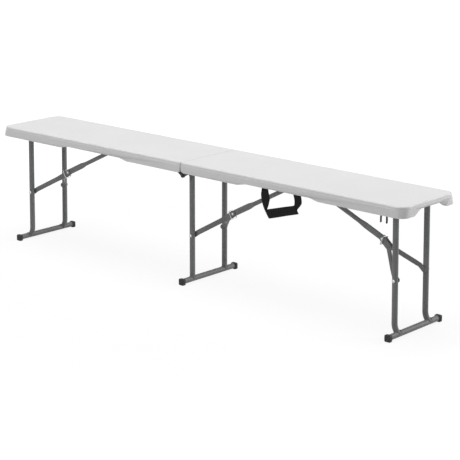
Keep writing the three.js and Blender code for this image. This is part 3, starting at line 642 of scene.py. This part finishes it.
def smoothed(rows, steps):
    """Rows with more put between them on a smooth curve."""
    fine = []
    for i in range(len(rows) - 1):
        around = rows[max(i - 1, 0)], rows[i], rows[i + 1], rows[min(i + 2, len(rows) - 1)]
        for step in range(steps):
            fine.append(tuple(on_curve(*numbers, step / steps) for numbers in zip(*around)))
    return fine + [rows[-1]]


def on_strap(row, share, proud):
    """A place at a share of the strap's width from its outer edge, so far in front of its middle."""
    x1, z1, x2, z2, lean1, lean2 = row
    y = STRAP_PLACE - (lean1 + (lean2 - lean1) * share) - proud
    return Vector((x1 + (x2 - x1) * share, y, z1 + (z2 - z1) * share))


def build_strap(rows):
    """The webbing as one closed band with thin rounded edges, and UVs in metres for its weave."""
    columns, edge_share = 12, 0.35
    shares = [column / columns for column in range(columns + 1)]
    centres = [Vector(((x1 + x2) / 2, 0, (z1 + z2) / 2)) for x1, z1, x2, z2, *_ in rows]
    rings, weave_places = [], []
    travelled = 0.0
    for row, centre, before in zip(rows, centres, centres[:1] + centres):
        travelled += (centre - before).length
        width = math.hypot(row[2] - row[0], row[3] - row[1])
        ring = []
        for front, across in ((1, shares), (-1, shares[::-1])):
            for share in across:
                near_edge = min(min(share, 1 - share) * width / STRAP_EDGE, 1)
                half = STRAP_THICK / 2 * (edge_share + (1 - edge_share) * math.sqrt(near_edge))
                ring.append(on_strap(row, share, front * half))
                weave_places.append((travelled * MM, share * STRAP_WIDE * MM))
        rings.append(ring)
    piece = add_piece("strap_webbing", loft(rings), "black_webbing", "strap", ("carry_strap",), sharp=60)
    layer = piece.data.uv_layers.new(name="weave")
    for loop in piece.data.loops:
        layer.data[loop.index].uv = weave_places[loop.vertex_index]


def build_stitches(rows):
    """Two rows of stitches along the edges of the strap below its anchors, each a small rounded bar."""
    proud, last_room = STRAP_THICK / 2 + 0.05, 0.2
    bars = []
    for line_share in STITCH_LINES:
        line = [on_strap(row, line_share, proud) for row in rows]
        place = 0.0
        for start, end in zip(line, line[1:]):
            length = (end - start).length
            ahead = (end - start).normalized()
            while place < length - last_room:
                at = start + ahead * place
                place += STITCH_EVERY
                if at.z <= STITCHES_BELOW:
                    stops = [(at + ahead * share * STITCH_LENGTH, wide) for share, wide in STITCH_STOPS]
                    bars.append(loft([section(stop, ahead, ACROSS, wide, wide, sides=6)
                                      for stop, wide in stops]))
            place -= length
    add_piece("strap_stitches", joined(bars), "black_webbing", "strap", sharp=60, material=stitching)


strap_rows = smoothed(STRAP_ROWS, steps=4)
build_strap(strap_rows)
build_stitches(strap_rows)


# Screws under the rails

SCREW_OUTLINE = ((2.2, 0.2), (4.2, 0.1), (4.2, -0.5), (3.8, -1.2), (2.8, -1.7), (1.5, -1.9), (1.2, -1.2),
                 (0, -1.1))
SCREW_PLACES = (60, 300, 560, 780)

for half, toward in (("left", -1), ("right", 1)):
    for side in SIDES:
        rail_y = centre_of(f"{half}_rail_{side}").y
        for number, x in enumerate(SCREW_PLACES):
            screw = turned(SCREW_OUTLINE, Vector((toward * x, rail_y, RAIL_UNDERSIDE)), UPWARD, sides=24)
            add_piece(f"{half}_rail_screw_{side}_{number}", screw, "zinc_steel", f"{half}_half")


# Stage and light, in metres

WHITE = (1, 1, 1, 1)

# Each lamp is its name, its place, the point it is aimed at, its size and its power in watts
LAMPS = (
    ("key", (-0.8, -0.1, 6.0), (-0.1, 0, 0.3), 4.4, 198),
    ("right", (2.9, 3.4, 1.7), (0.1, 0, 0.3), 2.6, 100),
    ("front", (-0.6, -4.4, 2.5), (-0.3, 0, 0.3), 2.6, 46),
)


def seen_directly(tree):
    """1 for what the camera, a reflection or a clear piece sees, 0 for light that bounces."""
    paths = node(tree, "ShaderNodeLightPath").outputs
    seen = math_node(tree, "ADD", paths["Is Camera Ray"], paths["Is Glossy Ray"])
    return math_node(tree, "ADD", seen, paths["Is Transmission Ray"], clamp=True)


def stage_material():
    """Floor that is white where it is seen, and keeps a part of its shadow near the bench."""
    material, tree, place = new_material("stage")
    away = node(tree, "ShaderNodeVectorMath", ((0, place),), operation="LENGTH").outputs["Value"]
    glow = spread(tree, away, low=0.80, high=1.0, start=1.0, end=2.2)
    share = math_node(tree, "MULTIPLY", seen_directly(tree), glow)
    matt = node(tree, "ShaderNodeBsdfDiffuse", (("Color", (0.6, 0.6, 0.6, 1)),))
    bright = node(tree, "ShaderNodeEmission", (("Color", WHITE), ("Strength", 1.12)))
    node(tree, "ShaderNodeOutputMaterial", ((0, mixed(tree, share, matt, bright)),))
    return material


def add_floor():
    half = 30
    corners = [(-half, -half, 0), (half, -half, 0), (half, half, 0), (-half, half, 0)]
    mesh = bpy.data.meshes.new("floor")
    mesh.from_pydata(corners, [], [(0, 1, 2, 3)])
    mesh.materials.append(stage_material())
    floor = bpy.data.objects.new("floor", mesh)
    bpy.context.scene.collection.objects.link(floor)


def add_world():
    """White where it is seen, and a weak even light on the bench."""
    world = bpy.data.worlds.new("world")
    bpy.context.scene.world = world
    world.use_nodes = True
    tree = world.node_tree
    tree.nodes.clear()
    soft, white = (node(tree, "ShaderNodeBackground", (("Color", WHITE), ("Strength", strength)))
                   for strength in (0.2, 1.0))
    node(tree, "ShaderNodeOutputWorld", ((0, mixed(tree, seen_directly(tree), soft, white)),))


def add_lamp(name, place, aim, size, power):
    data = bpy.data.lights.new(name, "AREA")
    data.shape = "DISK"
    data.size = size
    data.energy = power
    lamp = bpy.data.objects.new(name, data)
    lamp.location = place
    lamp.rotation_euler = (Vector(aim) - Vector(place)).to_track_quat("-Z", "Y").to_euler()
    bpy.context.scene.collection.objects.link(lamp)


add_floor()
add_world()
for lamp in LAMPS:
    add_lamp(*lamp)
